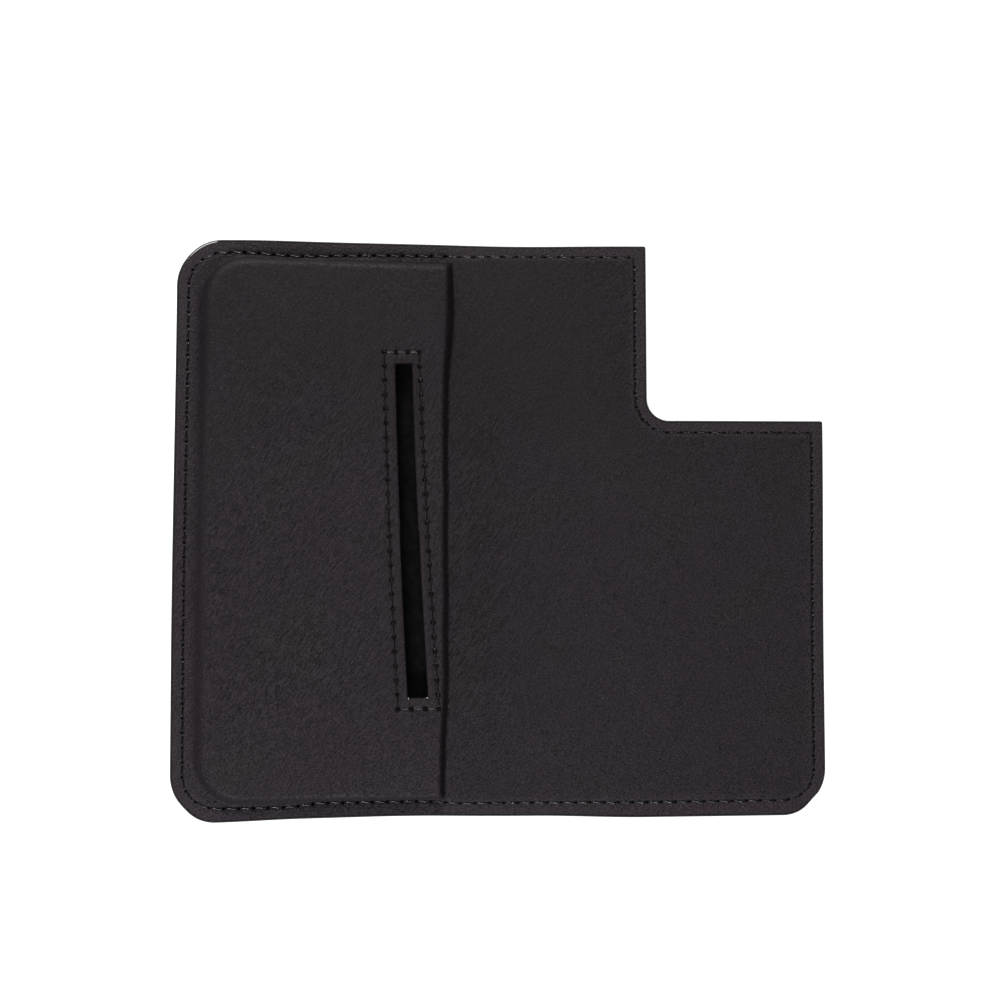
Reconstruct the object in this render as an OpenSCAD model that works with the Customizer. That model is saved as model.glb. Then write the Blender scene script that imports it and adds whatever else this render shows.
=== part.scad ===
// Leather phone wallet case, lying fully open with its inner faces up.
//
// Origin: centre of the spine, on the surface that the case lies on.
// +X points to the back panel, which carries the phone. +Y points to the top. +Z points up.
// Two layers of leather run through the whole case. They bend at two fold lines, so each layer
// is made in five lengths: front panel, fold, spine, fold and back panel.

/* [Case] */
// Width of the case when it lies open [mm]
open_w = 174; // [165:0.5:190]
// Height of the case [mm]
case_h = 153.5; // [148:0.5:165]
// Radius of the rounded outer corners [mm]
corner_r = 12; // [6:0.5:16]
// Distance between the two fold lines [mm]
spine_w = 15.5; // [14:0.5:20]
// Width of the leather that bends at each fold line [mm]
fold_w = 3; // [2.8:0.1:5]

/* [Leather] */
// Thickness of the outer leather [mm]
outer_t = 1.4; // [1:0.1:2]
// Thickness of the lining leather [mm]
lining_t = 1.2; // [1.2:0.1:1.6]

/* [Camera cut-out] */
// Distance from the spine's centre to the cut-out's side edge [mm]
cutout_x = 39; // [34:0.5:48]
// Height of the cut-out's lower edge above the middle of the case [mm]
cutout_y = 29; // [28:0.5:45]
// Radius of the cut-out's inner corner [mm]
cutout_r = 6; // [1:0.5:10]

/* [Card pocket] */
// Bare border between the outer edges and the raised pocket [mm]
pocket_border = 7.6; // [7:0.1:12]
// Bare border above and below the raised pocket [mm]
pocket_end_border = 6; // [5:0.1:10]
// Distance from the spine's centre to the pocket's near side [mm]
pocket_near_x = 15.4; // [13:0.2:16]
// Room for cards under the raised leather [mm]
pocket_room = 4.4; // [4.2:0.1:6]
// Radius of the pocket's two outer corners [mm]
pocket_r = 13; // [5:0.5:18]

/* [Card slit] */
// Length of the slit [mm]
slit_l = 88; // [87:0.5:95]
// Width of the slit [mm]
slit_w = 5.4; // [4.8:0.1:6]
// Distance from the spine's centre to the slit's centre [mm]
slit_x = 24.7; // [24.4:0.1:30]
// Lean of the slit, its lower end towards the spine [deg]
slit_lean = 2.5; // [0:0.1:3]
// Width of the stitched frame around the slit [mm]
slit_seam_w = 10.4; // [10:0.1:11]
// Length of the stitched frame around the slit [mm]
slit_seam_l = 94.4; // [93:0.1:100]
// Thickness of the facing behind the slit [mm]
facing_t = 0.6; // [0.5:0.05:0.7]

/* [Stitching] */
// Distance from a leather edge to its seam [mm]
seam_inset = 3.1; // [2.5:0.1:3.5]
// Length of one stitch [mm]
stitch_pitch = 3.85; // [3:0.05:5]
// Gap between the ends of two stitches [mm]
stitch_gap = 0.8; // [0.6:0.1:1.2]
// Thickness of the flattened thread [mm]
thread_t = 0.35; // [0.3:0.05:0.4]
// Width of the thread [mm]
thread_w = 0.6; // [0.4:0.05:0.8]

/* [Magnets] */
// Distance from the spine's centre to the middle of the phone [mm]
seat_x = 47.1; // [44:0.1:52]
// Height of the magnet ring's centre from the middle of the case [mm]
ring_y = -2.5; // [-6:0.5:-2.5]
// Inner radius of the magnet ring [mm]
ring_inner_r = 23; // [22:0.5:24]
// Outer radius of the magnet ring [mm]
ring_outer_r = 27; // [26:0.5:27]
// Number of magnets in the ring
ring_count = 18; // [12:1:24]
// Thickness of the magnets [mm]
magnet_t = 0.75; // [0.4:0.05:0.8]
// Thickness of the steel ring behind the magnets [mm]
shunt_t = 0.3; // [0.2:0.05:0.4]
// Width of the alignment magnet [mm]
bar_w = 4; // [3:0.5:6]
// Length of the alignment magnet [mm]
bar_l = 16; // [10:1:20]
// Distance from the ring's centre to the near end of the alignment magnet [mm]
bar_drop = 31; // [29:0.5:36]

/* [Hidden] */
$fn = 64;

half_w = open_w / 2;
half_h = case_h / 2;
sheet_t = outer_t + lining_t;
fold_x = spine_w / 2;
panel_x = fold_x + fold_w / 2;
spine_x = fold_x - fold_w / 2;

pocket_half_h = half_h - pocket_end_border;
pocket_under = outer_t + pocket_room;
pocket_top = pocket_under + lining_t;

groove_w = thread_w + 0.4;
groove_d = thread_t + 0.05;
facing_margin = 1.5;
facing_w = slit_seam_w + 2 * facing_margin;
facing_l = slit_seam_l + 2 * facing_margin;

magnet_fit = 0.2;
magnet_gap_deg = 2;
recess_d = magnet_t + 0.05;
recess_inner_r = ring_inner_r - magnet_fit;
recess_outer_r = ring_outer_r + magnet_fit;
bar_y = ring_y - bar_drop - bar_l / 2;

// How far a cut runs past the surface that it opens through.
past = 1;

outer_colour = [0.19, 0.17, 0.185];
lining_colour = [0.22, 0.2, 0.21];
facing_colour = [0.12, 0.11, 0.11];
thread_colour = [0.06, 0.055, 0.06];
magnet_colour = [0.62, 0.63, 0.65];
steel_colour = [0.5, 0.51, 0.53];

// ---- Plans of the leather ----

// A rectangle from x0 to x1 whose two corners at x0 are rounded.
module rounded_at_x0(x0, x1, half, r) {
    translate([x0 + r, -half]) square([x1 - x0 - r, 2 * half]);
    translate([x0, -half + r]) square([2 * r, 2 * (half - r)]);
    for (side = [-1, 1]) translate([x0 + r, side * (half - r)]) circle(r);
}

// A rectangle around the origin with four rounded corners.
module rounded_rectangle(w, l, r) {
    square([w - 2 * r, l], center = true);
    square([w, l - 2 * r], center = true);
    for (x = [-1, 1], y = [-1, 1]) translate([x * (w / 2 - r), y * (l / 2 - r)]) circle(r);
}

// The front panel, moved in from its three free edges.
module front_plan(inset = 0) {
    rounded_at_x0(inset - half_w, -panel_x, half_h - inset, corner_r - inset);
}

// The corner that is left open for the cameras, widened on both sides.
module cutout_plan(widened = 0) {
    x = cutout_x - widened;
    y = cutout_y - widened;
    r = cutout_r + widened;
    translate([x, y + r]) square([open_w, case_h]);
    translate([x + r, y]) square([open_w, case_h]);
    translate([x + r, y + r]) circle(r);
}

// The back panel, moved in from its free edges.
module back_plan(inset = 0) {
    difference() {
        mirror([1, 0]) front_plan(inset);
        cutout_plan(inset);
    }
}

// The pocket's raised leather, moved in on all sides.
module pocket_plan(inset = 0) {
    rounded_at_x0(
        pocket_border - half_w + inset, -pocket_near_x - inset,
        pocket_half_h - inset, pocket_r - inset
    );
}

// Places things in the frame of the leaning slit.
module at_slit() {
    translate([-slit_x, 0]) rotate(slit_lean) children();
}

// The facing's plan, trimmed to fit inside the pocket.
module facing_plan() {
    intersection() {
        at_slit() rounded_rectangle(facing_w, facing_l, 3);
        pocket_plan(lining_t);
    }
}

// The slit's opening, widened on all sides.
module slit_plan(widened = 0) {
    at_slit() rounded_rectangle(slit_w + 2 * widened, slit_l + 2 * widened, 1);
}

module slit_groove_plan() {
    at_slit() difference() {
        rounded_rectangle(slit_seam_w + groove_w, slit_seam_l + groove_w, 1);
        rounded_rectangle(slit_seam_w - groove_w, slit_seam_l - groove_w, 0.5);
    }
}

module front_groove_plan() {
    difference() {
        front_plan(seam_inset - groove_w / 2);
        front_plan(seam_inset + groove_w / 2);
    }
}

module back_groove_plan() {
    difference() {
        back_plan(seam_inset - groove_w / 2);
        back_plan(seam_inset + groove_w / 2);
    }
}

module spine_groove_plan() {
    for (side = [-1, 1])
        translate([0, side * (half_h - seam_inset)]) square([2 * spine_x, groove_w], center = true);
}

// A strip of one leather layer between two distances from the spine's centre.
module strip(x0, x1, bottom, thickness) {
    translate([x0, -half_h, bottom]) cube([x1 - x0, case_h, thickness]);
}

// ---- Stitches ----

// Stitches along a straight line, each as [x, y, direction, length].
function line_stitches(start, end) =
    let (way = end - start, count = max(1, round(norm(way) / stitch_pitch)))
    [for (i = [0 : count - 1])
        let (at = start + way * i / count)
        [at.x, at.y, atan2(way.y, way.x), norm(way) / count]];

// Stitches round an arc, from one angle to another.
function arc_stitches(centre, r, from, to) =
    let (count = max(1, round(abs(to - from) * PI / 180 * r / stitch_pitch)),
         step = (to - from) / count)
    [for (i = [0 : count - 1])
        let (angle = from + i * step,
             at = centre + r * [cos(angle), sin(angle)],
             next = centre + r * [cos(angle + step), sin(angle + step)],
             way = next - at)
        [at.x, at.y, atan2(way.y, way.x), norm(way)]];

// One stitch: a leg through the leather, and a bar in the groove on each face.
module stitch(length, bottom, top) {
    leg = thread_w / 2;
    bar = length - stitch_gap;
    rotate([90, 0, 0]) linear_extrude(thread_w, center = true) polygon([
        [-leg, bottom], [bar, bottom], [bar, bottom + thread_t], [leg, bottom + thread_t],
        [leg, top - thread_t], [bar, top - thread_t], [bar, top], [-leg, top]
    ]);
}

module seam(stitches, bottom, top) {
    for (s = stitches) translate([s[0], s[1], 0]) rotate(s[2]) stitch(s[3], bottom, top);
}

thread_sunk = groove_d - thread_t;
seam_bottom = thread_sunk;
seam_top = sheet_t - thread_sunk;
seam_y = half_h - seam_inset;
seam_x = half_w - seam_inset;
seam_r = corner_r - seam_inset;
seam_end_x = panel_x + stitch_gap;
corner_x = half_w - corner_r;
corner_y = half_h - corner_r;
cutout_seam_x = cutout_x - seam_inset;
cutout_seam_y = cutout_y - seam_inset;
cutout_centre = [cutout_x + cutout_r, cutout_y + cutout_r];

front_stitches = concat(
    line_stitches([-seam_end_x, seam_y], [-corner_x, seam_y]),
    arc_stitches([-corner_x, corner_y], seam_r, 90, 180),
    line_stitches([-seam_x, corner_y], [-seam_x, -corner_y]),
    arc_stitches([-corner_x, -corner_y], seam_r, 180, 270),
    line_stitches([-corner_x, -seam_y], [-seam_end_x, -seam_y])
);

back_stitches = concat(
    line_stitches([seam_end_x, seam_y], [cutout_seam_x, seam_y]),
    line_stitches([cutout_seam_x, seam_y], [cutout_seam_x, cutout_centre.y]),
    arc_stitches(cutout_centre, cutout_r + seam_inset, 180, 270),
    line_stitches([cutout_centre.x, cutout_seam_y], [seam_x, cutout_seam_y]),
    line_stitches([seam_x, cutout_seam_y], [seam_x, -corner_y]),
    arc_stitches([corner_x, -corner_y], seam_r, 0, -90),
    line_stitches([corner_x, -seam_y], [seam_end_x, -seam_y])
);

spine_stitches = concat(
    line_stitches([-spine_x + thread_w, seam_y], [spine_x, seam_y]),
    line_stitches([-spine_x + thread_w, -seam_y], [spine_x, -seam_y])
);

slit_seam_x = slit_seam_w / 2;
slit_seam_y = slit_seam_l / 2;
slit_stitches = concat(
    line_stitches([-slit_seam_x, -slit_seam_y], [-slit_seam_x, slit_seam_y]),
    line_stitches([-slit_seam_x, slit_seam_y], [slit_seam_x, slit_seam_y]),
    line_stitches([slit_seam_x, slit_seam_y], [slit_seam_x, -slit_seam_y]),
    line_stitches([slit_seam_x, -slit_seam_y], [-slit_seam_x, -slit_seam_y])
);

// ---- Outer leather ----

module outer_front() {
    color(outer_colour) difference() {
        linear_extrude(outer_t) front_plan();
        translate([0, 0, -past]) linear_extrude(groove_d + past) front_groove_plan();
    }
}

module outer_fold_front() {
    color(outer_colour) strip(-panel_x, -spine_x, 0, outer_t);
}

module outer_spine() {
    color(outer_colour) difference() {
        strip(-spine_x, spine_x, 0, outer_t);
        translate([0, 0, -past]) linear_extrude(groove_d + past) spine_groove_plan();
    }
}

module outer_fold_back() {
    color(outer_colour) strip(spine_x, panel_x, 0, outer_t);
}

module outer_back() {
    color(outer_colour) difference() {
        linear_extrude(outer_t) back_plan();
        translate([0, 0, -past]) linear_extrude(groove_d + past) back_groove_plan();
        translate([seat_x, ring_y, outer_t - shunt_t]) difference() {
            cylinder(h = shunt_t + past, r = recess_outer_r);
            translate([0, 0, -past]) cylinder(h = shunt_t + 3 * past, r = recess_inner_r);
        }
    }
}

// ---- Lining leather ----

module lining_front() {
    color(lining_colour) difference() {
        translate([0, 0, outer_t]) union() {
            linear_extrude(lining_t) front_plan();
            linear_extrude(pocket_room + lining_t) pocket_plan();
        }
        translate([0, 0, outer_t - past]) linear_extrude(pocket_room + past) pocket_plan(lining_t);
        translate([0, 0, outer_t]) linear_extrude(pocket_room + facing_t) facing_plan();
        translate([0, 0, outer_t]) linear_extrude(pocket_top) slit_plan();
        translate([0, 0, pocket_top - groove_d]) linear_extrude(groove_d + past) slit_groove_plan();
        translate([0, 0, sheet_t - groove_d]) linear_extrude(groove_d + past) front_groove_plan();
    }
}

module lining_fold_front() {
    color(lining_colour) strip(-panel_x, -spine_x, outer_t, lining_t);
}

module lining_spine() {
    color(lining_colour) difference() {
        strip(-spine_x, spine_x, outer_t, lining_t);
        translate([0, 0, sheet_t - groove_d]) linear_extrude(groove_d + past) spine_groove_plan();
    }
}

module lining_fold_back() {
    color(lining_colour) strip(spine_x, panel_x, outer_t, lining_t);
}

module lining_back() {
    color(lining_colour) difference() {
        translate([0, 0, outer_t]) linear_extrude(lining_t) back_plan();
        translate([0, 0, sheet_t - groove_d]) linear_extrude(groove_d + past) back_groove_plan();
        translate([seat_x, ring_y, outer_t - past]) difference() {
            cylinder(h = recess_d + past, r = recess_outer_r);
            translate([0, 0, -past]) cylinder(h = recess_d + 3 * past, r = recess_inner_r);
        }
        translate([seat_x, bar_y, outer_t - past]) linear_extrude(recess_d + past)
            square([bar_w + 2 * magnet_fit, bar_l + 2 * magnet_fit], center = true);
    }
}

// ---- Slit facing and thread ----

// A thin frame of leather, let into the lining's underside around the slit.
module slit_facing() {
    color(facing_colour) difference() {
        translate([0, 0, pocket_under]) linear_extrude(facing_t) facing_plan();
        translate([0, 0, outer_t]) linear_extrude(pocket_top) slit_plan(0.2);
        translate([0, 0, outer_t]) linear_extrude(pocket_room + groove_d) slit_groove_plan();
    }
}

module slit_thread() {
    color(thread_colour)
        at_slit() seam(slit_stitches, pocket_under + thread_sunk, pocket_top - thread_sunk);
}

module edge_thread_front() {
    color(thread_colour) seam(front_stitches, seam_bottom, seam_top);
}

module edge_thread_spine() {
    color(thread_colour) seam(spine_stitches, seam_bottom, seam_top);
}

module edge_thread_back() {
    color(thread_colour) seam(back_stitches, seam_bottom, seam_top);
}

// ---- Magnets between the two layers of the back panel ----

module magnet_ring() {
    step = 360 / ring_count;
    color(magnet_colour) translate([seat_x, ring_y, outer_t])
        for (i = [0 : ring_count - 1]) rotate(i * step)
            rotate_extrude(angle = step - magnet_gap_deg)
                translate([ring_inner_r, 0]) square([ring_outer_r - ring_inner_r, magnet_t]);
}

module alignment_magnet() {
    color(magnet_colour) translate([seat_x, bar_y, outer_t])
        linear_extrude(magnet_t) square([bar_w, bar_l], center = true);
}

module shunt_ring() {
    color(steel_colour) translate([seat_x, ring_y, outer_t - shunt_t]) difference() {
        cylinder(h = shunt_t, r = ring_outer_r);
        translate([0, 0, -past]) cylinder(h = shunt_t + 2 * past, r = ring_inner_r);
    }
}

outer_front();
outer_fold_front();
outer_spine();
outer_fold_back();
outer_back();
lining_front();
lining_fold_front();
lining_spine();
lining_fold_back();
lining_back();
slit_facing();
slit_thread();
edge_thread_front();
edge_thread_spine();
edge_thread_back();
magnet_ring();
alignment_magnet();
shunt_ring();
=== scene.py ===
"""Looks of the leather phone wallet case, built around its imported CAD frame.

Lengths are in millimetres until a mesh is made. The leather is a set of height fields over the
case's plan: each layer is a closed solid with a top skin, a bottom skin and a cut edge.
"""

import math

import bpy
import numpy as np
from mathutils import Matrix, Quaternion, Vector, geometry


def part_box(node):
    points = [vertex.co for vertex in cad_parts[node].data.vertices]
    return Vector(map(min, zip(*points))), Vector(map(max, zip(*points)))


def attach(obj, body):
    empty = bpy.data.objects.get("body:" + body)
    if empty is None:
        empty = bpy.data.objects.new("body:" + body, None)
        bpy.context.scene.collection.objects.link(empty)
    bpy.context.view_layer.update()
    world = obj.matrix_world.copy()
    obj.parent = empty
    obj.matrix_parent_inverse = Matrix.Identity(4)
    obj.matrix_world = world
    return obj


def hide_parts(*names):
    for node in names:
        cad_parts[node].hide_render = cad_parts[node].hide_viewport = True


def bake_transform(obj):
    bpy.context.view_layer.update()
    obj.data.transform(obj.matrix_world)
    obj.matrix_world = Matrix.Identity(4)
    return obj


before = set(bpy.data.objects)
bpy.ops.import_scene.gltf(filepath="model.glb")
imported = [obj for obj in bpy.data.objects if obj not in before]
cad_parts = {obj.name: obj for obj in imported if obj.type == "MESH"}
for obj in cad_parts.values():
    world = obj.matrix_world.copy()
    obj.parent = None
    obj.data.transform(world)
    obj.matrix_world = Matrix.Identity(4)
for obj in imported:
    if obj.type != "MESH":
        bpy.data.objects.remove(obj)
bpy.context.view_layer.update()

MM = 0.001


def box_mm(node):
    """A CAD node's lowest and highest corners, in millimetres."""
    low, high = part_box(node)
    return np.array(low) / MM, np.array(high) / MM


# ---- Sizes taken from the frame ----

front_low, front_high = box_mm("outer_front")
HALF_W = -front_low[0]
HALF_H = front_high[1]
OUTER_T = front_high[2]
SHEET_T = box_mm("lining_back")[1][2]
RING_LOW, RING_HIGH = box_mm("magnet_ring")
BAR_LOW, BAR_HIGH = box_mm("alignment_magnet")
POCKET_TOP = box_mm("lining_front")[1][2]

# ---- Sizes in plan that the frame's boxes don't tell ----

CORNER_R = 12.0
CUTOUT = (39.0, 29.0)
CUTOUT_R = 6.0
CRISP_R = 0.6

# ---- Sizes of the looks: the leathers' cut edge ----

SKIN_GAP = 0.02
OUTER_EDGE_R = 0.55
BEVEL_W = 0.62
BEVEL_FALL = 0.173
RIM_W = 0.36
RIM_FALL = 0.43
PAINT_W = BEVEL_W
JOIN_CHAMFER = 0.08
EDGE_DIP = 0.12
EDGE_DIP_W = 4.0

# ---- The seams ----

SEAM_INSET = 3.2
PITCH = 3.85
SLIT_PITCH = 3.8
SAMPLE = 0.32
GROOVE_DEPTH = 0.12
GROOVE_W = 0.5
HOLE_DEPTH = 0.93
EDGE_HOLE_R = 0.27
SLIT_HOLE_R = 0.48
# How far the painted shadow of the thread lies off each seam, and how dark it is.
SHADE_SHIFT = 0.22
EDGE_SHADE = 0.24
SLIT_SHADE = 0.17

# ---- The pocket ----

POCKET_H = POCKET_TOP - SHEET_T
RIDGE_X = -77.2
RIDGE_Y = 69.8
RIDGE_DROP = 0.95
RIDGE_RISE = -0.2
RIDGE_R = 9.5
WALL_SIDE = 4.5
WALL_END = 3.1
WALL_NEAR = 1.95
SIDE_SHOULDER = 0.42
TOP_SHOULDER = 0.65
BOTTOM_SHOULDER = 0.32
SIDE_FOOT = 0.52
END_FOOT = 0.16
NEAR_X = -16.5
LIFTED_Y = 55
SKIRT_H = 0.5

# ---- The slit ----

SLIT_X = -24.58
SLIT_Y = -0.6
SLIT_LEAN = math.radians(2.5)
SLIT_BOW = 0.35
SLIT_HALF_L = 44.1
SLIT_HALF_W = 2.33
SLIT_TAPER = 0.0035
SLIT_SEAM_HALF = (5.0, 47.1)
SLIT_SEAM_DRIFT = -0.4
FACING_HALF = (6.6, 48.6)
FACING_DEPTH = 0.6
PAINTED_LIP = 0.3


# ---- Small maths ----

def ease(t):
    """A smooth step from 0 to 1."""
    t = np.clip(t, 0.0, 1.0)
    return t * t * (3.0 - 2.0 * t)


def hashed(ix, iy, seed):
    """A fixed pseudo-random value from 0 to 1 for each lattice point."""
    n = (ix * 374761393 + iy * 668265263 + seed * 1442695041) & 0xFFFFFFFF
    n = ((n ^ (n >> 13)) * 1274126177) & 0xFFFFFFFF
    return ((n ^ (n >> 16)) & 0xFFFF) / 65535.0


def waves(x, y, size, seed):
    """Smooth value noise from -1 to 1 with features of about the given size."""
    u, v = x / size, y / size
    ix, iy = np.floor(u).astype(np.int64), np.floor(v).astype(np.int64)
    fx, fy = ease(u - ix), ease(v - iy)
    low = hashed(ix, iy, seed) * (1 - fx) + hashed(ix + 1, iy, seed) * fx
    high = hashed(ix, iy + 1, seed) * (1 - fx) + hashed(ix + 1, iy + 1, seed) * fx
    return 2.0 * (low * (1 - fy) + high * fy) - 1.0


def bump_at(x, y, cx, cy, rx, ry):
    """A round hill of height 1."""
    return np.exp(-((x - cx) / rx) ** 2 - ((y - cy) / ry) ** 2)


# ---- Paths in plan ----

def line(start, end, count):
    """Points on a straight line, without its end."""
    t = np.arange(count)[:, None] / count
    return np.array(start) * (1 - t) + np.array(end) * t


def arc(centre, radius, start, end, count):
    """Points on an arc between two angles in degrees, without its end."""
    angle = np.radians(start + (end - start) * np.arange(count) / count)
    return np.stack([centre[0] + radius * np.cos(angle), centre[1] + radius * np.sin(angle)], 1)


def steps(length):
    """How many points an outline of this length gets."""
    return max(2, round(length / SAMPLE))


def towards_corner(start, corner):
    """Points from a fixed start towards a sharp corner, at the same places for every inset."""
    length = math.dist(start, corner)
    t = np.arange(0, length - 0.1, SAMPLE)[:, None] / length
    return np.array(start) * (1 - t) + np.array(corner) * t


def cover_path(inset):
    """The cover half's free edge, from the spine's middle at the top to its middle below."""
    y, x = HALF_H - inset, HALF_W - inset
    cx, cy = HALF_W - CORNER_R, HALF_H - CORNER_R
    turn = steps((CORNER_R - SEAM_INSET) * math.pi / 2)
    return np.concatenate([
        line((0, y), (-cx, y), steps(cx)),
        arc((-cx, cy), CORNER_R - inset, 90, 180, turn),
        line((-x, cy), (-x, -cy), steps(2 * cy)),
        arc((-cx, -cy), CORNER_R - inset, 180, 270, turn),
        line((-cx, -y), (0, -y), steps(cx)),
        [(0, -y)],
    ])


def back_path(inset):
    """The back half's free edge, with the camera cut-out, from the top to below."""
    y, x = HALF_H - inset, HALF_W - inset
    cx, cy = HALF_W - CORNER_R, HALF_H - CORNER_R
    nx, ny = CUTOUT[0] - inset, CUTOUT[1] - inset
    mx, my = CUTOUT[0] + CUTOUT_R, CUTOUT[1] + CUTOUT_R
    crisp = max(CRISP_R - inset, 0.02)
    turn = steps((CORNER_R - SEAM_INSET) * math.pi / 2)
    inner_turn = steps((CUTOUT_R + SEAM_INSET) * math.pi / 2)
    return np.concatenate([
        towards_corner((0, y), (nx - crisp, y)),
        arc((nx - crisp, y - crisp), crisp, 90, 0, 5),
        [(nx, y - crisp)],
        towards_corner((nx, my), (nx, y - crisp))[:0:-1],
        arc((mx, my), CUTOUT_R + inset, 180, 270, inner_turn),
        towards_corner((mx, ny), (x - crisp, ny)),
        arc((x - crisp, ny - crisp), crisp, 90, 0, 5),
        [(x, ny - crisp)],
        towards_corner((x, -cy), (x, ny - crisp))[:0:-1],
        arc((cx, -cy), CORNER_R - inset, 0, -90, turn),
        line((cx, -y), (0, -y), steps(cx)),
        [(0, -y)],
    ])


def slit_axis(along, drift):
    """Where the slit's leaning, slightly bowed centre line runs. Its seam drifts off it."""
    bow = SLIT_BOW * (1 - (along / SLIT_HALF_L) ** 2)
    off = drift * (along + SLIT_HALF_L) / (2 * SLIT_HALF_L)
    return SLIT_X - math.tan(SLIT_LEAN) * along - bow + off


def slit_spread(along):
    """How much wider than its mean the slit is: it narrows towards the top."""
    return 1 - SLIT_TAPER * along / SLIT_HALF_W


def slit_ring(half_w, half_l, radius, drift=0.0):
    """A closed rounded rectangle in the slit's frame."""
    r = max(radius, 0.05)
    ax, ay = half_w - r, half_l - r
    corner = max(2, round(r * math.pi / 2 / SAMPLE) + 1)
    wide, tall = steps(2 * ax), steps(2 * ay)
    ring = np.concatenate([
        line((ax, half_l), (-ax, half_l), wide),
        arc((-ax, ay), r, 90, 180, corner),
        line((-half_w, ay), (-half_w, -ay), tall),
        arc((-ax, -ay), r, 180, 270, corner),
        line((-ax, -half_l), (ax, -half_l), wide),
        arc((ax, -ay), r, 270, 360, corner),
        line((half_w, -ay), (half_w, ay), tall),
        arc((ax, ay), r, 0, 90, corner),
    ])
    x = slit_axis(ring[:, 1], drift) + ring[:, 0] * slit_spread(ring[:, 1])
    return np.stack([x, ring[:, 1] + SLIT_Y], 1)


# ---- Distances in plan ----

def rounded_distance(qx, qy, radius):
    """Distance outside a rounded corner, from the distances past its centre's two axes."""
    both = (qx > 0) & (qy > 0)
    return np.where(both, np.hypot(qx, qy), np.maximum(qx, qy)) - radius


def edge_distance(x, y):
    """How far a point lies inside the case's free edge."""
    rect = -rounded_distance(
        np.abs(x) - (HALF_W - CORNER_R), np.abs(y) - (HALF_H - CORNER_R), CORNER_R
    )
    cut = rounded_distance(CUTOUT[0] + CUTOUT_R - x, CUTOUT[1] + CUTOUT_R - y, CUTOUT_R)
    return np.where(x > 0, np.minimum(rect, cut), rect)


def slit_distance(x, y, half_w, half_l, drift=0.0):
    """Distance outside a rectangle in the slit's frame."""
    along = y - SLIT_Y
    across = (x - slit_axis(along, drift)) / slit_spread(along)
    qx, qy = np.abs(across) - half_w, np.abs(along) - half_l
    outside = np.hypot(np.maximum(qx, 0), np.maximum(qy, 0))
    return outside + np.minimum(np.maximum(qx, qy), 0)


def nearest(x, y, centres):
    """Distance to the closest of a few points."""
    best = np.full(x.shape, 1e9)
    for cx, cy in centres:
        best = np.minimum(best, (x - cx) ** 2 + (y - cy) ** 2)
    return np.sqrt(best)


# ---- Stitch places ----

def along_path(points, pitch):
    """Evenly spaced stitch ends on a path: an array of points, the last one included."""
    run = np.concatenate([[0], np.cumsum(np.hypot(*np.diff(points, axis=0).T))])
    at = np.linspace(0, run[-1], round(run[-1] / pitch) + 1)
    return np.stack([np.interp(at, run, points[:, k]) for k in range(2)], 1)


def slit_seam_holes():
    """The slit seam's holes, with one in each corner and the first one repeated at the end."""
    w, l = SLIT_SEAM_HALF
    down = round(2 * l / SLIT_PITCH)
    local = np.concatenate([
        line((w, l), (-w, l), 3), line((-w, l), (-w, -l), down),
        line((-w, -l), (w, -l), 3), line((w, -l), (w, l), down), [(w, l)],
    ])
    x = slit_axis(local[:, 1], SLIT_SEAM_DRIFT) + local[:, 0] * slit_spread(local[:, 1])
    return np.stack([x, local[:, 1] + SLIT_Y], 1)


COVER_HOLES = along_path(cover_path(SEAM_INSET), PITCH)
BACK_HOLES = along_path(back_path(SEAM_INSET), PITCH)
SLIT_HOLES = slit_seam_holes()


# ---- Heights ----

def near_side(y):
    """The pocket's wavy side next to the spine."""
    return (
        NEAR_X
        + 1.15 * ease((y - 34) / 34)
        - 0.9 * ease((-38 - y) / 30)
        + 0.12 * waves(y * 0, y, 9.0, 3)
    )


def wall_profile(t, shoulder, foot):
    """A wall falling from 1 to 0: a rounded shoulder, a straight slope and a rounded foot."""
    slope = 1 / (1 - (shoulder + foot) / 2)
    t = np.clip(t, 0, 1)
    upper = 1 - slope * t**2 / (2 * shoulder)
    middle = 1 - slope * (t - shoulder / 2)
    lower = slope * (1 - t) ** 2 / (2 * foot)
    return np.where(t < shoulder, upper, np.where(t < 1 - foot, middle, lower))


def ridge(x, y):
    """Distance outside the pocket's ridge, and how far the wall there faces an end of the case."""
    shift = np.where(y > 0, RIDGE_DROP * ease((x + 66) / 50), RIDGE_RISE)
    qx, qy = RIDGE_X + RIDGE_R - x, np.abs(y) + shift - (RIDGE_Y - RIDGE_R)
    share = np.where((qx > 0) & (qy > 0), qy**2 / np.maximum(qx**2 + qy**2, 1e-9), qy > qx)
    return rounded_distance(qx, qy, RIDGE_R), share


def pocket(x, y):
    """Height of the wet-moulded pocket above the flat lining. Near its upper end the leather beside
    the spine is lifted a little, in a skirt that fades out."""
    out, share = ridge(x, y)
    wall = WALL_SIDE + (WALL_END - WALL_SIDE) * share
    end_shoulder = np.where(y > 0, TOP_SHOULDER, BOTTOM_SHOULDER)
    shoulder = SIDE_SHOULDER + (end_shoulder - SIDE_SHOULDER) * share
    foot = SIDE_FOOT + (END_FOOT - SIDE_FOOT) * share
    outer = wall_profile(out / wall, shoulder, foot)
    near_wall = WALL_NEAR + 0.95 * np.exp(-(((y - LIFTED_Y) / 11) ** 2))
    near = wall_profile((x - near_side(y)) / near_wall, 0.62, 0.2)
    crown = 1 + 0.06 * bump_at(x, y, -24, 47, 16, 7) - 0.03 * bump_at(x, y, -52, 0, 22, 50)
    beyond = np.clip(x - near_side(y) - near_wall, 0, 20)
    skirt = SKIRT_H * np.exp(-(((y - LIFTED_Y) / 12) ** 2))
    skirt = skirt * np.where(beyond > 0, np.exp(-beyond / 1.7), 1 - near)
    loose = 0.09 * waves(x, y, 17.0, 5) + 0.04 * waves(x, y, 7.0, 6)
    inside = np.minimum(outer, near)
    return POCKET_H * outer * near * crown + loose * inside + skirt * ease((x + 25) / 5)


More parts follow.
